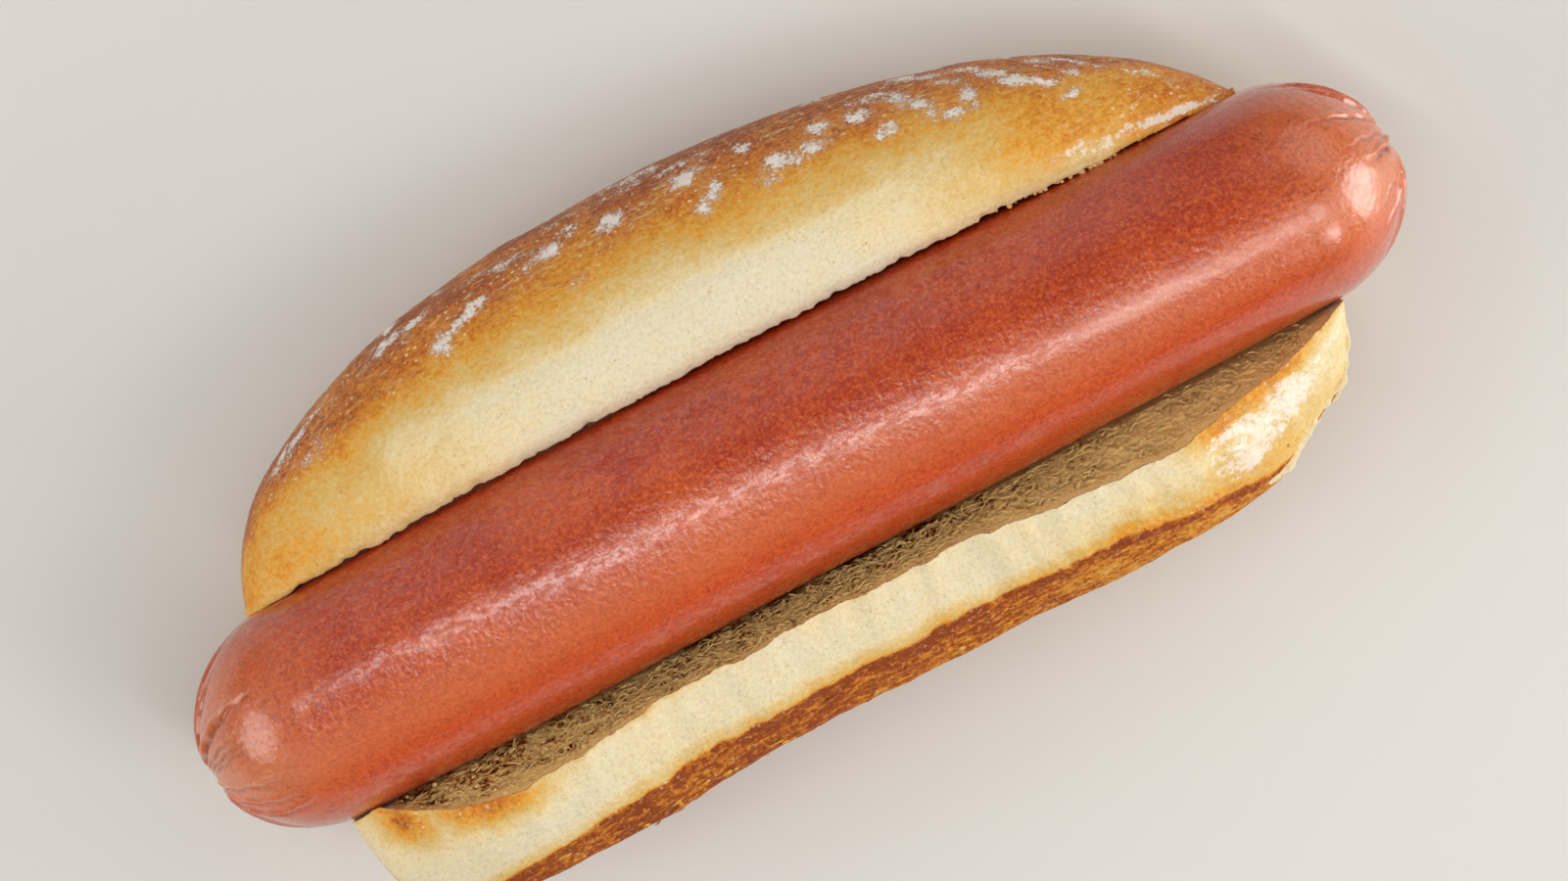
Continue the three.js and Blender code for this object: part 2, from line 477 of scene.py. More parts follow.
def scratch_nodes(at):
    """A mask of fine light scratches and creases that run in several directions."""
    lines = []
    for number, turn in enumerate((0.7, -0.6, 1.7)):
        run = at.stretched(0.22, 1.3, 1.3, (0.3, turn, turn)).noise(560 + 90 * number, 1, 0.4)
        line = (run - 0.5).math("ABSOLUTE").span(0, 0.03, 1, 0)
        lines.append(line * at.noise(190 + 40 * number, 2).span(0.52, 0.6))
    return [lines[0].math("MAXIMUM", lines[1]).math("MAXIMUM", lines[2])]


def mottle_nodes(at, large, small):
    """Soft cloudy patches at two scales, from -0.5 to 0.5, to break up a flat colour."""
    return [at.noise(1 / large, 2, 0.5, 0.4) * 0.6 + at.noise(1 / small, 4, 0.6) * 0.4 - 0.5]


GROUPS = [
    ("Grain", {"Vector": None, "Size": MM, "Depth": 0.6}, ["Height", "Pits"], grain_nodes),
    ("Scratches", {"Vector": None}, ["Lines"], scratch_nodes),
    ("Mottle", {"Vector": None, "Large": 12 * MM, "Small": 2 * MM}, ["Patches"], mottle_nodes),
]


# Settings

def colour_setting(name, description, shade):
    return bpy.props.FloatVectorProperty(
        name=name, description=description, default=linear(*shade), size=4, subtype="COLOR", min=0, max=1)


def length_setting(name, description, millimetres):
    return bpy.props.FloatProperty(
        name=name, description=description, default=millimetres * MM, min=0, unit="LENGTH",
        subtype="DISTANCE", precision=5)


class HotDogSettings(bpy.types.PropertyGroup):
    """Sizes and colours that change the look of the hot dog."""

    bun_columns: bpy.props.IntProperty(name="Bun columns", description="Faces along the bun", default=350)
    bun_relief: length_setting("Dough relief", "Height of the soft unevenness of the crust", 0.3)
    lip_bite: length_setting("Lip bites", "Depth of the small bites along the cut lip", 0.6)
    crumb_depth: length_setting("Crumb depth", "Depth of the torn holes in the crumb", 1.9)
    strand_count: bpy.props.IntProperty(name="Strands", description="Torn strands of crumb", default=1900)
    flake_count: bpy.props.IntProperty(name="Flakes", description="Loose flakes of crust", default=70)
    lump_count: bpy.props.IntProperty(name="Crumbs", description="Small crumbs on the cut edges", default=420)
    crust_pale: colour_setting("Pale side", "Colour of the sides that were not browned", (230, 221, 192))
    crust_gold: colour_setting("Golden crust", "Colour of the lightly browned crust", (226, 188, 110))
    crust_brown: colour_setting("Brown crust", "Colour of the well baked crust", (206, 114, 20))
    flour: colour_setting("Flour", "Colour of the flour that lies on the crust", (252, 244, 236))
    crumb_light: colour_setting("Crumb", "Colour of the torn crumb", (218, 164, 94))
    # Painted shade: the colour deep in the crumb's holes.
    crumb_hole_shade: colour_setting("Crumb holes", "Colour deep in the crumb", (88, 34, 6))
    casing: colour_setting("Casing", "Main colour of the sausage", (201, 83, 28))
    casing_deep: colour_setting("Casing, deep", "Redder colour of the sausage's patches", (174, 52, 15))
    camera_height: length_setting("Camera height", "Height of the camera above the surface", 630)
    view_width: length_setting("View width", "Width of the picture at the height of the sausage", 203.1)


def settings():
    return bpy.context.scene.hot_dog


# The bun

# Rows round the section: dense on the two faces beside the opening, sparse underneath and inside.
OUTER_ROWS = 214
INNER_ROWS = 44

# The bun's columns stop just short of its very ends, where it has no thickness.
NEARLY_END = 0.99997

# How browned the crust is, from 0, cream, to 1, dark brown, by its share of the section. The sides are pale
# where the buns of a batch touch each other, and the base is brown from the tray. UNDERSIDE parts the two.
UNDERSIDE = 0.58
DOME_BAKE = [(0, 0), (0.12, 0.03), (0.136, 0.1), (0.147, 0.29), (0.165, 0.42), (0.197, 0.62),
             (0.225, 0.78), (0.265, 0.93), (0.37, 0.95), (0.44, 0.6), (0.5, 0.3), (UNDERSIDE, 0.3)]
BASE_BAKE = [(UNDERSIDE, 0.3), (0.64, 0.7), (0.7, 0.8)]

# Flour on the dome: place along and across in millimetres, half length, half width, tilt in degrees, amount.
FLOUR = [
    (-61, 29.5, 2.2, 0.7, 40, 0.8), (-57.7, 31.1, 2.6, 0.8, 35, 0.9), (-54.5, 32.8, 1.9, 0.6, 30, 0.8),
    (-46, 34.8, 1.2, 0.4, 25, 0.55), (-41.5, 36.4, 2.4, 0.8, 12, 0.9), (-37.5, 37.2, 2.6, 0.7, 8, 0.9),
    (-34.6, 33.2, 1.7, 0.9, 35, 1), (-31.8, 34.2, 1.6, 0.7, 25, 0.8), (-29.4, 35, 2.2, 0.8, 20, 1),
    (-23, 38.6, 1.9, 0.8, 5, 0.7), (-20.5, 36.8, 0.9, 0.7, 0, 0.8), (-17.8, 37.3, 1.6, 1.1, 5, 1.1),
    (-13.9, 38.8, 1.4, 0.9, 0, 0.7), (-15.5, 32, 1.2, 0.8, 60, 0.5), (-8.4, 37.2, 1.5, 1.2, 20, 1.1),
    (2.6, 37.6, 1.8, 1.1, 20, 1.1), (3.3, 32.4, 1, 0.8, 0, 0.9), (5.3, 34.4, 0.9, 1.4, -15, 0.8),
    (11.2, 37.8, 1.1, 0.8, 0, 0.8), (14.2, 34.3, 1.4, 1, 5, 1.1), (12.2, 32.1, 1, 0.8, 0, 0.8),
    (16.5, 33.2, 1.3, 0.8, 10, 0.8), (19.2, 33.4, 1.4, 1, 5, 1), (21.2, 35.4, 1.3, 1, 10, 1),
    (26.5, 34.4, 1.6, 1, -10, 1), (29.2, 36, 2.2, 0.9, -8, 1), (28.6, 31, 1.2, 0.9, 30, 0.9),
    (31.6, 34.5, 1.4, 0.8, -20, 0.9), (33.8, 32.2, 1.6, 0.8, -25, 1), (34.6, 30, 1.1, 0.8, 0, 0.8),
    (37.6, 28.8, 1.2, 0.7, 20, 0.8), (40.2, 30.3, 0.9, 1.6, -10, 0.9), (38.6, 33.4, 1.6, 0.7, -25, 0.8),
    (44.5, 31.4, 1.8, 0.8, -30, 0.9), (46.6, 29.2, 1.8, 0.9, -42, 1), (49.2, 27.6, 1.5, 0.8, -45, 1),
    (50.6, 30.2, 1.6, 0.7, -30, 0.9), (53.6, 26.9, 1.1, 0.6, -40, 0.9), (51.8, 24.4, 0.8, 0.6, 0, 0.8),
    (57.4, 26, 1.2, 0.5, -42, 0.8), (60.6, 23.4, 1, 0.5, -45, 0.8), (62.6, 21.8, 1.5, 0.5, -48, 0.9),
    (36, 35.6, 2.6, 0.6, -18, 0.8), (42, 33.6, 2.4, 0.6, -26, 0.8), (54, 28.6, 2.6, 0.5, -38, 0.8),
    (3.5, 39.8, 3.6, 0.6, 0, 0.7), (-6, 40.4, 3, 0.5, 0, 0.6), (-14, 40.6, 2.6, 0.5, 0, 0.6),
    (-27, 38.9, 2.4, 0.5, 5, 0.6), (-51, 33.2, 1, 0.4, 30, 0.5), (-55.5, 28.4, 2.6, 1, 32, 0.45),
]
FLOUR_LONGER = 1.12
FLOUR_WIDER = 1.4
FLOUR_REACH = 5.5
HIDDEN_FLOUR = 46

# How far light goes into bread.
BREAD_DEPTH = {"Subsurface_Weight": 0.1, "Subsurface_Radius": (1.0, 0.6, 0.3)}

# Layers of peeling skin near the right end: share of the section and the number that shapes each.
PEELS = [(0.84, 3.0), (0.81, 11.0), (0.78, 27.0)]
PEELS_FROM = 52.0
PEELS_TO = 70.8


def crust_share(share):
    """Turns an even share of the outer rows into a share of the section."""
    return traced(share, [(0, 0), (0.09, 0.045), (0.42, 0.34), (0.57, 0.72), (0.9, 0.965), (1, 1)])


def end_fade(x):
    """1 along the bun, falling to 0 over its last millimetres."""
    return smooth(0, 4, min(x - BUN_LEFT, BUN_RIGHT - x))


@cache
def base_edge_share(x):
    """Share of the section at which the brown base ends and the pale side begins."""
    rise = 0.06 * taper((x + 4) / 63, 4, 1) + 0.012 * bell(x, 33, 13)
    return 0.83 + rise + 0.002 * ragged(x * 1.6, 4.0) + 0.004 * rough((x, 1, 7), 3, 3)


# How golden the pale sides turn towards the left and the right end, by the distance from mid-length.
LEFT_GOLD = [(18, 0), (30, 0.12), (43, 0.3), (56, 0.46), (70, 0.6)]
RIGHT_GOLD = [(8, 0), (20, 0.12), (33, 0.3), (45, 0.6), (54, 0.65), (62, 0.74), (70, 0.86)]


@cache
def end_gold(x):
    return traced(x, RIGHT_GOLD) if x > 0 else traced(-x, LEFT_GOLD)


def bake_at(x, t):
    """How browned the crust is at a place, from 0, cream, to 1, dark brown."""
    if t < UNDERSIDE:
        cut = 1 - smooth(0.025, 0.11, t)
        paler = cut * (0.3 if x < 0 else 0.62 * (1 - smooth(50, 60, x)))
        wavy = t + 0.006 * wobble(x * 0.12, 5, 2) + 0.003 * wobble(x * 0.6, 9, 2)
        return max(traced(wavy, DOME_BAKE), end_gold(x) * (1 - paler) * (1 - smooth(0.3, 0.5, t)))
    edge = base_edge_share(x)
    base = traced(t, BASE_BAKE) * (1 - smooth(edge - 0.003, edge + 0.012, t))
    base *= 1 + 0.1 * smooth(5, -30, x) - 0.12 * smooth(10, 30, x)
    ring = 0.5 * bell(t, edge + 0.001, 0.008) + 0.3 * bell(t, edge + 0.016, 0.014)
    ring += 0.3 * bell(x, 42, 14) * bell(t, edge + 0.022, 0.02)
    ring *= 1 - 0.7 * smooth(56, 63, x)
    sunny = 0.4 * smooth(14, 46, x) * (1 - 0.6 * smooth(56, 66, x)) * (1 - smooth(0.9, 0.985, t))
    rim = 0.62 * smooth(39, 49, x) * (1 - 0.5 * smooth(60, 68, x)) + 0.72 * bell(x, -57, 9)
    reach = 0.04 + 0.012 * wobble(x * 0.5, 3, 1) + 0.01 * bell(x, 53, 6)
    stain = 0.78 * bell(x, -67.5, 3.6) * bell(t, 0.97, 0.035)
    seam = (0.04 + 0.2 * smooth(-12, -34, x)) * bell(t, 1.0, 0.012)
    side = max(0.085 + sunny + stain + seam, (0.08 + rim) * bell(t, 0.99, reach))
    return min(max(base + ring + 0.06, side), 1)


def gloss_at(x, t):
    """How shiny the crust is, and where a whitish highlight is painted into its colour: along the lip and
    over the base half, both towards the right end.
    """
    if t < 0.5:
        return smooth(40, 50, x) * bell(t, 0.078, 0.02)
    return (smooth(43, 50, x) * (1 - smooth(0.96, 0.985, t)) * smooth(0.875, 0.91, t)
            * (1 - 0.6 * smooth(61, 67, x)))


def hollow(x, t):
    """How deep the crumb may be torn out at a share of the inside."""
    window = smooth(0.84, 0.885, t) * (1 - smooth(0.955, 1.0, t))
    return settings().crumb_depth / MM * window * smooth(0.8, 3.5, crumb_width(x))


@cache
def face_axes(x):
    """The directions across the crumb's face, away from the sausage, and out of it."""
    across = (inner_point(x, 0.99) - inner_point(x, 0.9)).normalized()
    return across, Vector((0, across.z, -across.y))


@cache
def rim_drift(x):
    """How far the torn rim wanders."""
    wander = 0.24 * rough((x, 0, 3), 7, 4) + 0.16 * wobble(x * 0.8, 2, 0)
    wander += 0.14 * wobble(x * 2.1, 6, 0) + 0.08 * wobble(x * 5.0, 3, 0)
    return Vector((0, wander, 0.5 * abs(wander) + 0.3 * rough((x, 8, 3), 4, 4))) * end_fade(x)


@cache
def lip_bites(x):
    """Small sharp bites of the knife along the lip, in millimetres either way."""
    bites = abs(wobble(x * 0.42, 9, 0)) + 0.55 * abs(wobble(x * 1.05, 4, 0))
    bites += 0.5 * abs(wobble(x * 2.4, 14, 0)) - 0.42
    return settings().lip_bite / MM * bites * smooth(0.1, 0.9, thickness_at(x)[0])


def crust_point(x, t):
    """A point of the crust as it is dressed, with a crisp overhanging lip and a wandering rim."""
    point = outer_point(x, t)
    lip = smooth(0, 0.034, t) * (1 - smooth(0.034, 0.15, t))
    point += Vector((0, -lerp(1.0, 1.5, thickness(x, t)), 0.15)) * lip
    point.y += lip_bites(x) * (1 - smooth(0.036, 0.052, t)) * smooth(0, 0.02, t)
    return point + rim_drift(x) * smooth(0.93, 1, t)


def face_point(x, t):
    """A point of the bread's inside, up to the wandering rim."""
    return inner_point(x, t) + rim_drift(x) * smooth(0.93, 1, t)


def inside_point(x, t):
    """A point of the bread's inside, sunk under the torn crumb."""
    return face_point(x, t) - face_axes(x)[1] * hollow(x, t) * 1.25


@cache
def flour_spots():
    """Each patch of flour as its middle, the directions of its length and width, both sizes and amount."""
    draw = random.Random(4)
    spots = []
    for x, y, length, width, tilt, amount in FLOUR:
        low, high = 0.09, 0.31
        while high - low > 1e-4:
            middle = (low + high) / 2
            low, high = (middle, high) if crust_point(x, middle).y < y else (low, middle)
        spots.append((x, low, length * FLOUR_LONGER, width * FLOUR_WIDER, tilt, amount))
    for _ in range(HIDDEN_FLOUR):
        spots.append((draw.uniform(-62, 62), draw.uniform(0.285, 0.44), draw.uniform(0.9, 2.6),
                      draw.uniform(0.6, 1.4), draw.uniform(-60, 60), draw.uniform(0.6, 1.1)))
    out = []
    for x, t, length, width, tilt, amount in spots:
        middle = crust_point(x, t)
        up = (crust_point(x, t + 0.01) - middle).normalized()
        turn = radians(tilt)
        ahead = Vector((1, 0, 0))
        out.append((middle, ahead * cos(turn) + up * sin(turn),
                    up * cos(turn) - ahead * sin(turn), length, width, amount))
    return out


@cache
def flour_near(x):
    return [spot for spot in flour_spots() if abs(spot[0].x - x) < FLOUR_REACH]


def flour_at(point, t):
    """How much flour lies at a point of the crust."""
    if not 0.08 < t < 0.46:
        return 0.0
    amount = 0.0
    ragged_point = point + noise.noise_vector(point * 0.6) * 1.1 + noise.noise_vector(point * 1.5) * 0.5
    for middle, along, up, length, width, strength in flour_near(point.x):
        away = ragged_point - middle
        far = (away.dot(along) / length) ** 2 + (away.dot(up) / width) ** 2
        if far < 6:
            amount = max(amount, strength * exp(-0.7 * far))
    return amount


def bun_mesh():
    """The whole bun as one closed mesh."""
    look = settings()
    bm = bmesh.new()
    bake_layer, gloss_layer, flour_layer, under_layer = float_layers(bm, "bake", "gloss_and_highlight", "flour", "under")
    rows = OUTER_ROWS + INNER_ROWS
    split = OUTER_ROWS / rows
    middle, half = (BUN_LEFT + BUN_RIGHT) / 2, (BUN_RIGHT - BUN_LEFT) / 2
    crust = {}
    for vert, along, round_share in closed_loop_grid(bm, look.bun_columns, rows):
        x = middle + half * crowded(along) * NEARLY_END
        if round_share <= split + 1e-9:
            t = crust_share(min(round_share / split, 1.0))
            vert.co = crust_point(x, t)
            vert[bake_layer] = bake_at(x, t)
            vert[gloss_layer] = gloss_at(x, t)
            vert[under_layer] = smooth(0.55, 0.62, t) * (1 - smooth(0, 0.012, t - base_edge_share(x)))
            vert[flour_layer] = flour_at(vert.co, t)
            crust[vert] = (x, t)
        else:
            vert.co = inside_point(x, 1 - (round_share - split) / (1 - split))
    bm.normal_update()
    relief = look.bun_relief / MM
    moves = {}
    for vert, (x, t) in crust.items():
        if vert.co.z < 0.01 and 0.35 < t < 0.8:
            continue
        bake = vert[bake_layer]
        lumps = relief * (rough(vert.co, 17) + 0.32 * rough(vert.co + Vector((40, 0, 0)), 5))
        crease = 0.13 * rough((x, t * 50, 5), 2.2, 4) * smooth(0.88, 0.92, t)
        streaks = 0.3 * rough((x * 0.22, t * 130, 9), 2.0, 4) * smooth(0.62, 0.7, t) * bake
        fine = 0.05 * rough(vert.co, 1.1, 2) + 0.11 * vert[gloss_layer] * rough(vert.co, 1.3, 3)
        soft = lumps * smooth(0.02, 0.09, t) * (1 - smooth(0.97, 1, t))
        moves[vert] = vert.normal * ((soft + crease + streaks + fine) * end_fade(x))
    for vert, move in moves.items():
        vert.co += move
        vert.co.z = max(vert.co.z, 0)
    close_tube(bm)
    for vert in bm.verts:
        vert.co.z = max(vert.co.z, BUN_BOX[0].z)
    return bm


def crust_look(at):
    """The crust: browned by its bake, with pores, scratches and flour, and with painted highlight specks and
    a painted whitish highlight where it is shiny.
    """
    look = settings()
    bake, gloss_and_highlight, dusted = at.attribute("bake"), at.attribute("gloss_and_highlight"), at.attribute("flour")
    under = at.attribute("under").span(0.2, 0.8)
    clouds = at.group("Mottle", Large=9 * MM, Small=1.6 * MM)["Patches"]
    speck = at.noise(1500, 3, 0.8) - 0.5
    streaks = at.stretched(0.45, 1.3, 1.3).noise(1000, 5, 0.85) - 0.5
    uneven = clouds * bake.span(0, 0.35, 0.25, 0.8)
    dots = speck * bake.span(0.05, 0.9, 0.25, 0.9)
    browning = (bake + uneven).math("ADD", dots + streaks * (under * 1.7), clamp=True)
    colour = browning.ramp(
        (0, look.crust_pale), (0.16, linear(236, 216, 168)), (0.42, look.crust_gold),
        (0.62, linear(230, 162, 52)), (0.82, look.crust_brown), (1, linear(146, 58, 8)))
    fine = at.group("Grain", Size=0.8 * MM, Depth=0.9)
    colour = (fine["Pits"] * 0.3).mix(colour, linear(168, 118, 60))
    shade = at.noise(1900, 4, 0.75)
    light = shade.span(0.5, 0.64, 0, 0.24) * bake.span(0.1, 0.6, 1, 0.5)
    colour = light.mix(colour, bake.span(0.1, 0.5).mix(linear(250, 240, 214), linear(240, 176, 84)))
    colour = shade.span(0.5, 0.36, 0, 0.2).mix(colour, linear(176, 120, 58))
    baked = bake.span(0.4, 0.95)
    scratch = at.group("Scratches")["Lines"] * baked * (1 - under)
    colour = (scratch * 0.65).mix(colour, linear(250, 216, 166))
    # Painted highlights: tiny light specks painted into the colour of the baked crust.
    painted_glints = at.cells(850).span(0.14, 0.27, 1, 0) * at.noise(210, 3, 0.7).span(0.47, 0.58)
    painted_glints = painted_glints * bake.span(0.45, 0.8) * under.span(0, 1, 1, 0.4)
    colour = (painted_glints * 0.7).mix(colour, linear(255, 232, 196))
    # Painted highlight: a whitish, speckled sheen painted into the colour where the crust is shiny, along the
    # lip and on the base half towards the right end.
    painted_highlight = gloss_and_highlight + (at.stretched(0.6).noise(330, 4, 0.7) - 0.5) * 3
    painted_highlight = (painted_highlight + speck * 2.6).span(0.55, 1.1, 0, 0.7)
    colour = (painted_highlight * gloss_and_highlight.span(0.05, 0.4)).mix(colour, linear(255, 247, 236))
    powder = at.noise(2600, 2, 0.8)
    ragged_dust = (powder - 0.5) * 2.2 + (at.noise(620, 3, 0.6) - 0.5) * 1.3
    lying = (dusted + ragged_dust).span(0.36, 0.8) * dusted.span(0.04, 0.3)
    stray = powder.span(0.62, 0.72) * (baked * 0.35)
    dust = lying.math("MAXIMUM", stray).math("MAXIMUM", dusted * 0.1)
    colour = (dust * 0.92).mix(colour, look.flour)
    height = fine["Height"] * 0.35 + dust * 0.5 + at.noise(1100, 1.5, 0.5) * bake.span(0.1, 0.8, 0.7, 1.2)
    height = height + scratch * 0.5 + streaks * (under * 1.2)
    dull = bake.span(0.1, 0.9, 0.7, 0.5) + under * 0.25 - gloss_and_highlight * 0.3
    crisp = at.noise(800, 4, 0.8).span(0.42, 0.56, 0.1, 1)
    return {"Base_Color": colour, "Roughness": dull.math("ADD", dust * 0.3, clamp=True),
            "Coat_Weight": gloss_and_highlight * crisp * 0.8, "Normal": height.bump(0.3 * MM)}


class HOTDOG_OT_bun(bpy.types.Operator):
    """Models the bun with its crust, from the lip of the domed half round to the torn rim"""

    bl_idname = "hotdog.bun"
    bl_label = "Bun"

    def execute(self, context):
        crust = new_material(
            "Bun crust", crust_look, **BREAD_DEPTH, Subsurface_Scale=0.4 * MM, Specular_IOR_Level=0.3,
            Coat_Roughness=0.2)
        new_piece("bun_crust", bun_mesh(), crust)
        return {"FINISHED"}


def flake_mesh():
    """Small thin flakes of crust along the outer edge of the base half."""
    draw = random.Random(23)
    template = bmesh.new()
    bmesh.ops.create_circle(template, cap_ends=True, segments=9, radius=0.5)
    bmesh.ops.solidify(template, geom=template.faces[:], thickness=0.06)
    flakes = []
    for number in range(settings().flake_count):
        x, t = draw.uniform(-62, 66), draw.uniform(0.79, 0.875)
        if draw.random() < 0.4:
            x, t = draw.gauss(-38, 7), draw.uniform(0.8, 0.865)
        foot = crust_point(x, t)
        along = (crust_point(x + 0.4, t) - foot).normalized()
        up = (crust_point(x, t + 0.01) - foot).normalized()
        flakes.append((
            0.62 + 0.3 * (number * 0.37 % 1), foot, along, up, along.cross(up), draw.uniform(0.5, 1.9),
            draw.uniform(0.3, 0.8), draw.uniform(-0.5, 0.5), draw.uniform(0, 9)))

    def shape(place, foot, along, up, out, length, width, curl, seed):
        torn = 1 + 0.6 * wobble(place.x * 3, place.y * 3, seed)
        lift = 0.06 + 0.3 * abs(curl) * (place.x * curl + 0.5) + 0.3 * place.z
        return (foot + along * (place.x * length * torn) + up * (place.y * width * torn)
                + out * (lift + place.z))

    return stamped(template, flakes, shape, "bake")


def peel_mesh(level, seed):
    """A thin ledge of crust that peels off along the base half's edge, towards its right end."""
    bm = bmesh.new()
    bake_layer, gloss_layer = float_layers(bm, "bake", "gloss_and_highlight")
    for vert, along, around in closed_loop_grid(bm, 260, 14):
        x = lerp(PEELS_FROM, PEELS_TO, (along + 1) / 2)
        foot = crust_point(x, level)
        ahead = crust_point(x + 0.25, level) - crust_point(x - 0.25, level)
        out = ahead.cross(Vector((0, 0, 1))).normalized()
        torn = 0.45 + 0.6 * rough((x, seed, 0), 1.9, 4) + 0.4 * wobble(x * 0.4, seed, 2)
        reach = max(0.05, 1.1 * torn) * (1 - abs(along) ** 6)
        share = 1 - abs(2 * around - 1)
        under = -0.05 if around > 0.5 else 0.05
        wave = 0.14 * wobble(x * 0.6, share * 2, seed)
        rise = 0.25 + wave + under * (1 - share ** 4)
        vert.co = foot + out * lerp(-0.7, reach, share) + Vector((0, 0, rise))
        vert[bake_layer] = 0.06 + 0.3 * (1 - share)
        vert[gloss_layer] = 0.3
    close_tube(bm)
    return bm


class HOTDOG_OT_flakes(bpy.types.Operator):
    """Adds loose flakes and peeling skin along the edge of the base half"""

    bl_idname = "hotdog.flakes"
    bl_label = "Flakes"

    def execute(self, context):
        crust = bpy.data.materials["Bun crust"]
        new_piece("bun_flakes", flake_mesh(), crust)
        for number, (level, seed) in enumerate(PEELS, 1):
            new_piece(f"bun_peel_{number}", peel_mesh(level, seed), crust)
        return {"FINISHED"}


# The torn crumb

CRUMB_COLUMNS = 760
CRUMB_ROWS = 70
CRUMB_BACK_ROWS = 6
CRUMB_FROM = 0.82
CRUMB_TO = 0.999

# Strands and small crumbs lie where the crumb's face is at least this wide.
LEAST_WIDTH = 1.5

# How light the plain crumb, the strands and the small crumbs are painted: partly airier crumb, and partly
# painted light on the raised strands and crumbs.
PLAIN_AIRY_AND_LIT = 0.34
STRAND_AIRY_AND_LIT = 1.7
LUMP_AIRY_AND_LIT = 1.3


def torn_relief(point):
    """Depth of the torn crumb at a point of its face, from 0 on the walls between holes to 1 in a hole."""
    place = Vector((point.x * 0.5, point.y, point.z))
    warp = noise.turbulence_vector(place * 0.5, 3, False) * 0.9
    big, centres = noise.voronoi(place * 0.75 + warp)
    wall = 1 - smooth(0.0, 0.34, big[1] - big[0])
    chance = 0.5 + 0.5 * noise.noise(centres[0] * 3.1)
    small = noise.voronoi(place * 2.1 + warp * 1.5)[0]
    pit = smooth(0.0, 0.4, small[1] - small[0])
    fibres = rough(Vector((point.x * 0.55, point.y * 3.2, point.z * 3.2)) + warp * 2, 1.0, 4)
    lumps = noise.noise(place * 0.35 + Vector((4, 1, 8)))
    return (1 - wall) * smooth(0.3, 0.95, chance) * 0.8 + 0.16 * pit + 0.2 * fibres + 0.25 * lumps


def crumb_mesh():
    """The torn face between the sausage and the rim, closed behind by a smooth back."""
    bm = bmesh.new()
    depth_layer, airy_layer = float_layers(bm, "depth", "airy_and_lit")
    rows = CRUMB_ROWS + CRUMB_BACK_ROWS
    split = CRUMB_ROWS / rows
    for vert, along, round_share in closed_loop_grid(bm, CRUMB_COLUMNS, rows):
        x = lerp(CRUMB_LEFT + 0.6, BUN_RIGHT - 0.8, (along + 1) / 2)
        out = face_axes(x)[1]
        if round_share <= split + 1e-9:
            t = lerp(CRUMB_FROM, CRUMB_TO, min(round_share / split, 1))
            point = face_point(x, t)
            calm = 0.3 * smooth(20, 50, x) + 0.5 * bell(x, -56, 6)
            # The crumb sinks deeper next to the sausage; that depth also paints shade into its colour there.
            relief = (torn_relief(point) + 0.3 * (1 - smooth(0.875, 0.94, t))) * (1 - calm)
            vert.co = point - out * (hollow(x, t) * min(max(relief + 0.12, -0.1), 1.0) + 0.04)
            # Painted shade: the depth darkens the crumb's colour in its holes and next to the sausage.
            vert[depth_layer] = min(max(relief * 0.9, 0), 1)
            airy_and_lit = 0.36 + 0.5 * bell(x, -37, 10) + 0.8 * smooth(2, 30, x) + 0.3 * smooth(40, 60, x)
            # Painted light: the crumb is painted lighter towards the rim, away from the sausage.
            vert[airy_layer] = airy_and_lit + 0.9 * smooth(0.945, 1, t)
        else:
            back = (round_share - split) / (1 - split)
            t = lerp(CRUMB_TO, CRUMB_FROM, back)
            point = face_point(x, t)
            vert.co = point - out * (0.04 + hollow(x, t) * 1.15 + 0.3 * sin(pi * back))
            # Painted shade: the hidden back is painted as deep as the holes.
            vert[depth_layer] = 1.0
    close_tube(bm)
    return bm


def strand_mesh():
    """Fine torn strands of crumb that bridge the holes of the face."""
    draw = random.Random(11)
    template = bmesh.new()
    bmesh.ops.create_cone(template, cap_ends=True, segments=4, radius1=1, radius2=1, depth=1)
    long_edges = [e for e in template.edges if abs(e.verts[0].co.z - e.verts[1].co.z) > 0.5]
    bmesh.ops.subdivide_edges(template, edges=long_edges, cuts=4)
    strands = []
    while len(strands) < settings().strand_count:
        x = draw.triangular(-68, 66, -10)
        if crumb_width(x) < LEAST_WIDTH:
            continue
        t = lerp(TANGENT_SHARE + 0.005, 0.985, draw.random() ** 0.8)
        across, out = face_axes(x)
        foot = inner_point(x, t) - out * hollow(x, t) * draw.uniform(-0.12, 0.3)
        turn = draw.gauss(0, 0.6)
        along = Vector((cos(turn), 0, 0)) + across * sin(turn) + out * draw.gauss(0, 0.12)
        side = along.cross(out).normalized()
        strands.append((
            STRAND_AIRY_AND_LIT, foot, along, side, out, draw.uniform(0.5, 2.2), draw.uniform(0.05, 0.14),
            draw.gauss(0.05, 0.14), draw.gauss(0, 0.25)))

    def shape(place, foot, along, side, out, length, thick, arch, sway):
        share = place.z + 0.5
        hump = sin(pi * share)
        radius = thick * (0.3 + 0.7 * hump)
        return (foot + along * (place.z * length) + out * (arch * hump + place.x * radius)
                + side * (sway * hump + place.y * radius))

    return stamped(template, strands, shape, "airy_and_lit")


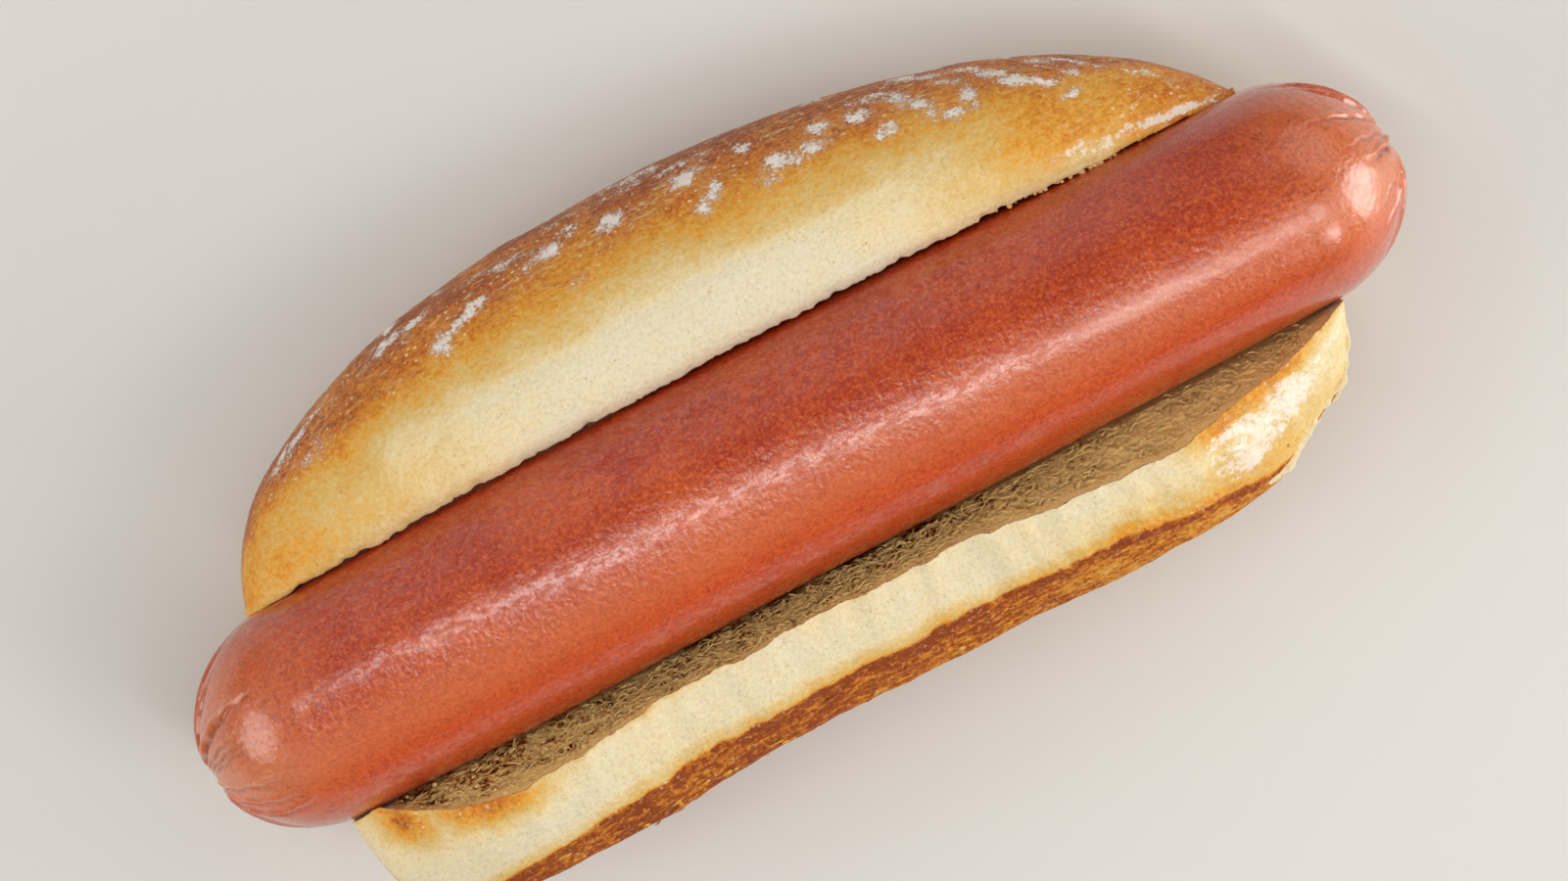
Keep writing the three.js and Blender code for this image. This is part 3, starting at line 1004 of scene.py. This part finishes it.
def lump_mesh():
    """Small crumbs on the torn face, and along the lip where it was cut roughly."""
    draw = random.Random(31)
    template = bmesh.new()
    bmesh.ops.create_icosphere(template, subdivisions=1, radius=1)
    lumps = []
    while len(lumps) < settings().lump_count:
        if len(lumps) % 4 == 0:
            x = draw.gauss(47, 6)
            if not 30 < x < 62:
                continue
            foot = crust_point(x, draw.uniform(0.004, 0.03)) + Vector((0, -draw.uniform(0, 0.25), 0))
        else:
            x = draw.uniform(-67, 64)
            if crumb_width(x) < LEAST_WIDTH:
                continue
            t = draw.uniform(TANGENT_SHARE, 0.99)
            foot = inner_point(x, t) - face_axes(x)[1] * hollow(x, t) * draw.uniform(0, 0.6)
        lumps.append((LUMP_AIRY_AND_LIT, foot, draw.uniform(0.09, 0.3), draw.uniform(0, 20)))

    def shape(place, foot, size, seed):
        bumpy = 1 + 0.5 * noise.noise(place * 1.4 + Vector((seed, seed, 0)))
        return foot + Vector((place.x * 1.4, place.y, place.z * 0.9)) * size * bumpy

    return stamped(template, lumps, shape, "airy_and_lit")


def crumb_look(at):
    """The torn crumb: painted shade in its holes and next to the sausage, painted light on its strands, small
    crumbs and rim, light on its fibres, and toasted towards the right end.
    """
    look = settings()
    patches = at.group("Mottle", Large=5 * MM, Small=0.6 * MM)["Patches"]
    fibres = at.stretched(0.45).noise(1900, 5, 0.75)
    # Painted shade: the depth darkens the holes and the crumb next to the sausage.
    share = at.attribute("depth") * 1.1 + patches * 3.6 + (0.5 - fibres) * 5.6
    # Painted light: the strands, the small crumbs and the crumb towards the rim are painted lighter, partly
    # also as airier crumb.
    share = share.math("SUBTRACT", (at.attribute("airy_and_lit") - PLAIN_AIRY_AND_LIT) * 0.9, clamp=True)
    colour = share.ramp((0, linear(250, 212, 138)), (0.22, look.crumb_light), (0.5, linear(162, 90, 32)),
                        (1, look.crumb_hole_shade))
    toasted = at.along().span(30 * MM, 66 * MM) * 0.75
    return {"Base_Color": toasted.mix(colour, linear(255, 202, 130)), "Normal": fibres.bump(0.6 * MM)}


class HOTDOG_OT_crumb(bpy.types.Operator):
    """Models the torn crumb between the sausage and the rim, with strands and small crumbs on it"""

    bl_idname = "hotdog.crumb"
    bl_label = "Torn crumb"

    def execute(self, context):
        crumb = new_material(
            "Bun crumb", crumb_look, **BREAD_DEPTH, Subsurface_Scale=0.5 * MM, Specular_IOR_Level=0.1,
            Roughness=0.8)
        new_piece("bun_torn_crumb", crumb_mesh(), crumb)
        new_piece("bun_crumb_strands", strand_mesh(), crumb)
        new_piece("bun_crumbs", lump_mesh(), crumb)
        return {"FINISHED"}


# The sausage

SAUSAGE_AROUND = 330
SAUSAGE_ALONG = 296
BODY_PART = 0.32
EVEN_HALF = 68.0
CAP_ARC = 26.0

# Pleats of the casing at the tips: which end, bearing from the top towards the dome in degrees, where it
# starts and ends by the distance over the skin from the tip, width, depth, and how far it curls in degrees.
PLEATS = [
    (-1, 32, 1, 21, 0.5, 0.65, -8), (-1, 15, 0.6, 17, 0.28, 0.2, -4), (-1, 7, 0.6, 19, 0.28, 0.2, -3),
    (-1, -1, 0.6, 17, 0.28, 0.2, 2), (-1, -26, 0.8, 21, 0.38, 0.35, 2), (-1, -48, 1, 20, 0.38, 0.42, 12),
    (-1, -72, 1.2, 22, 0.45, 0.6, 32), (-1, -88, 1.8, 20, 0.45, 0.6, 4), (-1, 78, 1.5, 21, 0.5, 0.7, -4),
    (-1, 56, 1, 17, 0.38, 0.5, 6), (-1, 110, 1.5, 19, 0.45, 0.7, 10), (-1, 150, 1.5, 18, 0.45, 0.7, -14),
    (-1, -120, 1.5, 19, 0.45, 0.7, 12), (-1, -160, 1.5, 17, 0.45, 0.7, 10), (1, -14, 0.6, 14, 0.5, 0.9, 8),
    (1, 12, 0.8, 17, 0.3, 0.25, -4), (1, 34, 1, 21, 0.42, 0.36, -6), (1, 56, 1.2, 19, 0.4, 0.6, 6),
    (1, 74, 1.5, 21, 0.5, 0.8, -6), (1, -36, 0.8, 17, 0.3, 0.25, -4), (1, -58, 1.2, 18, 0.42, 0.6, 4),
    (1, -84, 1.6, 20, 0.45, 0.7, -6), (1, 98, 1.5, 19, 0.45, 0.7, 10), (1, 135, 1.5, 18, 0.45, 0.7, -12),
    (1, 172, 1.5, 19, 0.45, 0.7, 8), (1, -130, 1.5, 19, 0.45, 0.7, 12),
]
# Sideways place of the knot that the pleats run to, at the left and the right tip.
KNOT_SIDE = {-1: -1.5, 1: 1.4}


def pleats_at(end, bearing, from_tip, radius):
    """The height of the pleats, each a crease beside a fold of casing, and how much is crease or fold."""
    height = creased = folded = 0
    for side, start, near, far, width, depth, curl in PLEATS:
        if side != end or not near < from_tip < far:
            continue
        share = (from_tip - near) / (far - near)
        turned = (bearing - start - curl * share ** 1.4 + 180) % 360 - 180
        across = radians(turned) * radius + 0.14 * sin(from_tip * 1.9 + start)
        if abs(across) > 4:
            continue
        fade = smooth(0, 0.08, share) * (1 - smooth(0.5, 1, share))
        width *= lerp(0.45, 1.0, smooth(1, 8, from_tip))
        crease = fade * exp(-abs(across / (width * 0.8)) ** 1.5)
        fold = fade * bell(across, width * 1.7, width * 0.9)
        height += depth * (0.7 * fold - 0.8 * crease) * lerp(0.3, 1.0, smooth(1, 8, from_tip))
        creased = max(creased, crease)
        folded = max(folded, fold)
    return height, creased, folded


def sausage_mesh():
    """The sausage, drawn in at both ends, with pleated tips and a slightly uneven casing."""
    bm = bmesh.new()
    crease_shade_layer, fold_highlight_layer, side_layer = float_layers(bm, "crease", "fold", "side")
    half = SAUSAGE_LENGTH / 2
    for vert, share, around in closed_loop_grid(bm, SAUSAGE_ALONG, SAUSAGE_AROUND):
        end = 1 if share > 0 else -1
        if abs(share) < BODY_PART:
            into_cap, away = 0.0, EVEN_HALF * abs(share) / BODY_PART
        else:
            into_cap = min((abs(share) - BODY_PART) / (1 - BODY_PART), 1.0)
            away = EVEN_HALF + (half - EVEN_HALF) * sin(into_cap * pi / 2)
        angle = 2 * pi * (around % 1)
        x = SAUSAGE_MIDDLE_X + end * away
        radius = sausage_radius(x) if into_cap < 1 else 0.0
        from_tip = (1 - into_cap) * CAP_ARC
        direction = Vector((0, sin(angle), cos(angle)))
        aside = KNOT_SIDE[end] * max(1 - radius / SAUSAGE_END_RADIUS, 0)
        from_knot = direction * radius - Vector((0, aside, 0))
        bearing = degrees(atan2(from_knot.y, from_knot.z))
        height, crease, fold = pleats_at(end, bearing, from_tip, from_knot.length) if into_cap else (0, 0, 0)
        near_tip = bell(from_knot.length, 0, TIP_SPREAD)
        knot = 0.75 * bell(from_knot.length, 0, 1.1)
        folds = 0.12 * cos(radians(bearing) * 9) * min(from_knot.length / TIP_SPREAD, 1) * near_tip
        inward = near_tip * TIP_DIMPLE - knot + folds if into_cap > 0.5 else 0
        tilt = cos(into_cap * pi / 2)
        outward = direction
        if into_cap:
            outward = direction * tilt + Vector((end, 0, 0)) * sqrt(1 - tilt * tilt)
        point = Vector((x - end * inward, 0, 0)) + direction * radius
        lumps = 0.2 * rough(point, 30, 1) + 0.03 * rough(point, 6, 2) + 0.025 * rough(point, 1.6, 2)
        lift = height * smooth(0.3, 2.5, from_knot.length) + lumps * smooth(0, 6, radius) - 0.03
        point += outward * lift
        # The crease and fold values paint shade and highlights into the casing's colour.
        vert[crease_shade_layer] = crease * smooth(0.2, 1.6, from_knot.length)
        vert[fold_highlight_layer] = fold * smooth(1.0, 3.0, from_knot.length)
        vert[side_layer] = 0.5 + 0.5 * direction.y
        vert.co = point + Vector((0, axis_y(x), SAUSAGE_HEIGHT))
    close_tube(bm)
    return bm


def casing_look(at):
    """The casing: mottled and flecked, paler at the ends, with pores, pleats and a moist shine; painted shade
    darkens its creases, where it meets the crumb and under the lip, and painted light brightens its folds and
    the side towards the base half.
    """
    look = settings()
    side = at.attribute("side")
    # Partly painted light: the side towards the base half is painted paler and more orange and the side
    # towards the dome redder, partly also the casing's own change of colour.
    base_side = side.span(0.2, 0.62, 1, 0)
    patches = at.group("Mottle", Large=11 * MM, Small=1.4 * MM)["Patches"]
    colour = (patches * 3.4 + base_side * 0.35).span(-0.45, 0.7).mix(look.casing_deep, look.casing)
    colour = (base_side * 0.4).mix(colour, linear(228, 96, 34))
    along = at.along()
    ends = along.math("ABSOLUTE").span(62 * MM, 84 * MM, 0, 0.5)
    colour = ends.mix(colour, linear(226, 142, 92))
    flecks = at.noise(1900, 4, 0.85)
    colour = flecks.span(0.49, 0.62, 0, 0.5).mix(colour, linear(236, 122, 62))
    colour = flecks.span(0.49, 0.36, 0, 0.55).mix(colour, linear(130, 24, 6))
    pits = at.group("Grain", Size=0.8 * MM, Depth=1)["Pits"]
    colour = (pits * 0.5).mix(colour, linear(110, 26, 8))
    # Painted shade darkens the pleats' creases, and a painted highlight lightens their folds.
    colour = (at.attribute("crease") * 0.6).mix(colour, linear(120, 36, 14))
    colour = (at.attribute("fold") * 0.18).mix(colour, linear(246, 176, 136))
    # Painted light: a lighter band along the side towards the base half.
    lit = side.span(0.14, 0.26) * side.span(0.34, 0.5, 0.3, 0)
    # Painted shade: the colour is darkened where the sausage meets the crumb on the base half's side, and
    # under the lip of the dome.
    painted_shade = side.ramp(
        (0, (0.72, 0.5, 0.5, 1)), (0.1, (0.86, 0.62, 0.55, 1)), (0.17, (0.93, 0.78, 0.66, 1)),
        (0.28, (1, 1, 1, 1)), (0.5, (0.95, 0.95, 0.92, 1)), (0.86, (0.96, 0.86, 0.76, 1)),
        (0.96, (0.86, 0.56, 0.34, 1)))
    wrinkles = at.stretched(0.6).noise(620, 2, 0.5, 0.5)
    calm = at.noise(60, 2).span(0.4, 0.6, 0.5, 1.2)
    height = at.noise(1250, 1.5, 0.5) + wrinkles * (calm * 0.7) - pits * 0.4
    long = at.stretched(0.5)
    spots = long.noise(1000, 3, 0.75)
    wet = long.noise(60, 2).span(0.36, 0.6, 0.7, 1) * spots.span(0.43, 0.55, 0.2, 1)
    wet = wet.math("MAXIMUM", ends * 2, clamp=True)
    return {"Base_Color": lit.mix(colour, linear(208, 130, 96)).tinted(painted_shade),
            "Roughness": spots.span(0.38, 0.62, 0.38, 0.22),
            "Coat_Weight": wet.math("MAXIMUM", along.span(26 * MM, 46 * MM, 0, 0.9)),
            "Normal": height.bump(0.15 * MM)}


class HOTDOG_OT_sausage(bpy.types.Operator):
    """Models the sausage with its drawn-in tips and the pleats of its casing"""

    bl_idname = "hotdog.sausage"
    bl_label = "Sausage"

    def execute(self, context):
        casing = new_material(
            "Sausage casing", casing_look, Subsurface_Weight=0.1, Subsurface_Radius=(1.0, 0.25, 0.1),
            Subsurface_Scale=0.8 * MM, Specular_IOR_Level=0.5, Coat_Roughness=0.2)
        new_piece("sausage_body", sausage_mesh(), casing, "sausage")
        return {"FINISHED"}


# Floor, light and camera

# The picture's middle, from under the sausage's middle, and how far the picture is turned from the sausage.
VIEW_MIDDLE = (-1.5, 1.6)
VIEW_TURN = radians(27.4)
SENSOR_WIDTH = 36.0

WARM = (1.0, 0.98, 0.95)

# Lights: name, place and what it points at in millimetres, width, length, turn, power and colour.
LIGHTS = [
    ("strip", (3, -166, 640), (3, -166, 0), 42, 830, -60.6, 1.46, WARM),
    ("back", (-60, 760, 300), (0, 0, 30), 480, 1300, 0, 1.1, WARM),
    ("left_back", (-600, 420, 640), (0, 0, 20), 1000, 1000, 0, 1.02, (1.0, 0.99, 0.96)),
    ("right_front", (560, -380, 600), (20, 0, 20), 450, 450, 0, 0.42, (1.0, 0.97, 0.93)),
    ("lip_gloss", (310, -400, 690), (58, 20, 35), 200, 260, 0, 0.65, (1.0, 0.98, 0.96)),
    ("front_gloss", (330, -560, 380), (50, -28, 33), 140, 140, 0, 0.54, WARM),
    ("right_back", (600, 420, 560), (0, 0, 20), 800, 800, 0, 1.45, (1.0, 0.99, 0.96)),
    ("left_front", (-560, -380, 560), (0, 0, 20), 800, 800, 0, 0.3, WARM),
    ("left_spot", (-610, 30, 390), (-70, 0, 30), 490, 490, 0, 1.65, WARM),
    ("right_spot", (690, -240, 175), (70, 0, 30), 480, 480, 0, 3.4, WARM),
]
WORLD_STRENGTH = 0.09


def add_area_light(name, place, target, width, length, turn, power, colour):
    data = bpy.data.lights.new(name, "AREA")
    data.shape = "ELLIPSE"
    data.size, data.size_y = length * MM, width * MM
    data.energy = power
    data.color = colour
    light = new_object(name, data)
    light.location = Vector(place) * MM
    light.rotation_euler = (Vector(place) - Vector(target)).to_track_quat("Z", "X").to_euler()
    light.rotation_euler.rotate_axis("Z", radians(turn))
    light.visible_camera = False


class HOTDOG_OT_stage(bpy.types.Operator):
    """Adds the floor, the soft lights and the camera above the hot dog"""

    bl_idname = "hotdog.stage"
    bl_label = "Stage"

    def execute(self, context):
        look = settings()
        bm = bmesh.new()
        bmesh.ops.create_grid(bm, x_segments=1, y_segments=1, size=3)
        floor = new_object("floor", new_mesh("floor", bm))
        floor.data.materials.append(new_material(
            "Floor", lambda at: {}, Base_Color=linear(222, 220, 215), Roughness=0.9))
        world = bpy.data.worlds.new("World")
        world.use_nodes = True
        background = world.node_tree.nodes["Background"].inputs
        background["Color"].default_value = (1, 1, 1, 1)
        background["Strength"].default_value = WORLD_STRENGTH
        context.scene.world = world
        for light in LIGHTS:
            add_area_light(*light)
        camera = new_object("camera", bpy.data.cameras.new("camera"))
        distance = look.camera_height - SAUSAGE_HEIGHT * MM
        camera.data.sensor_width = SENSOR_WIDTH
        camera.data.lens = SENSOR_WIDTH * distance / look.view_width
        middle = ((part + shift) * MM for part, shift in zip(VIEW_MIDDLE, PLACE))
        camera.location = (*middle, look.camera_height)
        camera.rotation_euler = (0, 0, -VIEW_TURN)
        context.scene.camera = camera
        context.scene.view_settings.view_transform = "Standard"
        return {"FINISHED"}


# Panel, registration and the run

class HOTDOG_PT_panel(bpy.types.Panel):
    """Buttons and settings of the hot dog"""

    bl_label = "Hot dog"
    bl_idname = "HOTDOG_PT_panel"
    bl_space_type = "VIEW_3D"
    bl_region_type = "UI"
    bl_category = "Hot dog"

    def draw(self, context):
        for operator in OPERATORS:
            self.layout.operator(operator.bl_idname)
        for name in HotDogSettings.__annotations__:
            self.layout.prop(context.scene.hot_dog, name)


OPERATORS = [HOTDOG_OT_bun, HOTDOG_OT_flakes, HOTDOG_OT_crumb, HOTDOG_OT_sausage, HOTDOG_OT_stage]
CLASSES = [HotDogSettings, *OPERATORS, HOTDOG_PT_panel]


def register():
    for cls in CLASSES:
        bpy.utils.register_class(cls)
    bpy.types.Scene.hot_dog = bpy.props.PointerProperty(type=HotDogSettings)


def unregister():
    del bpy.types.Scene.hot_dog
    for cls in reversed(CLASSES):
        bpy.utils.unregister_class(cls)


def main():
    """Makes every piece in order."""
    register()
    for group in GROUPS:
        new_group(*group)
    bpy.ops.hotdog.bun()
    bpy.ops.hotdog.flakes()
    bpy.ops.hotdog.crumb()
    bpy.ops.hotdog.sausage()
    bpy.ops.hotdog.stage()


if __name__ == "__main__":
    main()
